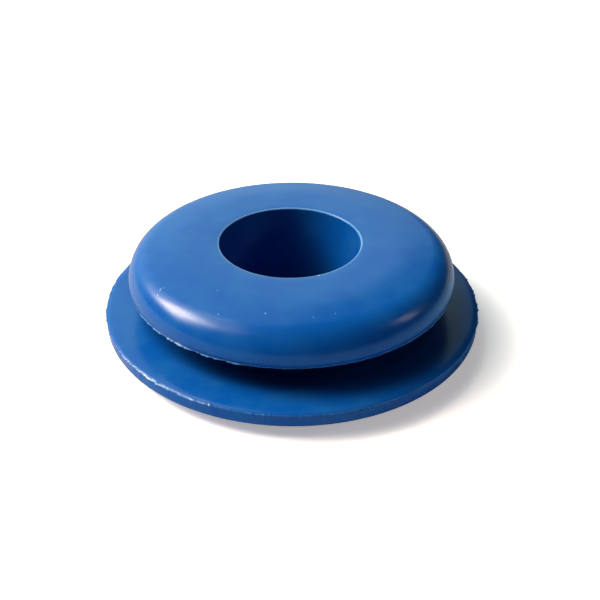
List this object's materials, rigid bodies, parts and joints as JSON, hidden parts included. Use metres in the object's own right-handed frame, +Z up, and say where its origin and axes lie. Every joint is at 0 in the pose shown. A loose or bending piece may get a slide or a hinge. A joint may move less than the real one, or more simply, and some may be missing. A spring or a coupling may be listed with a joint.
{
  "type": "gladhand seal",
  "caption": "Round moulded rubber coupling seal with a rounded sealing lip, a wide holding flange, a groove between them and a central air bore.",
  "frame": {"origin": "centre of the flat base, on the bore's axis, at the surface that the seal stands on", "axes": "+Z up along the bore, from the base to the sealing face; the seal is round about it"},
  "size_m": [0.0432, 0.0432, 0.0102],
  "materials": {
    "rubber": "satin moulded blue rubber, slightly glossy on the rounded shoulder"
  },
  "bodies": {
    "root": {"seal": "rubber"}
  },
  "joints": []
}
